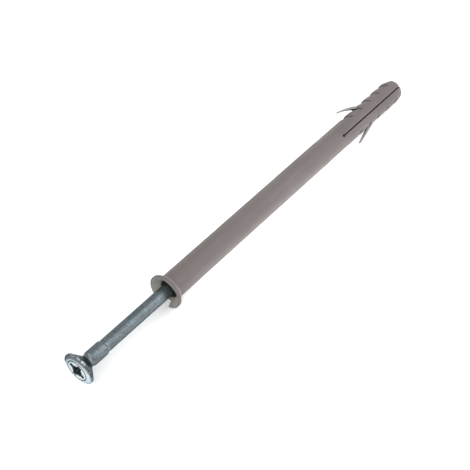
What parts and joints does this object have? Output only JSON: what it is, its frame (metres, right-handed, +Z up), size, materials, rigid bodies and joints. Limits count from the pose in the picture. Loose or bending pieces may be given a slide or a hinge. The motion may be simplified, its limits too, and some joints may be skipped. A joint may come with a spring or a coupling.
{
  "type": "hammer fixing",
  "caption": "Nail-in frame fixing: long nylon sleeve with countersunk collar, slit and barbed expansion zone, and a cross-recessed steel nail screw standing ready to be driven home.",
  "frame": {"origin": "centre of the part's footprint, on the surface it lies on", "axes": "+X along the fixing from the nail's head towards the sleeve's tip, +Z up from the surface, +Y to the left seen from the head; the fixing's own axis leans 0.78 degrees down towards the tip, as it rests on its collar and tip"},
  "size_m": [0.1564, 0.0112, 0.0112],
  "materials": {
    "nylon": "satin grey-brown moulded nylon",
    "zinc_steel": "bright zinc plate with a slight blue cast"
  },
  "bodies": {
    "sleeve": {"sleeve": "nylon"},
    "nail": {"nail_screw": "zinc_steel"}
  },
  "joints": [
    {"name": "nail_drive", "type": "slide", "parent": "sleeve", "child": "nail", "axis": [0.9999, 0, -0.0136], "range_m": [-0.084, 0.03515]}
  ]
}
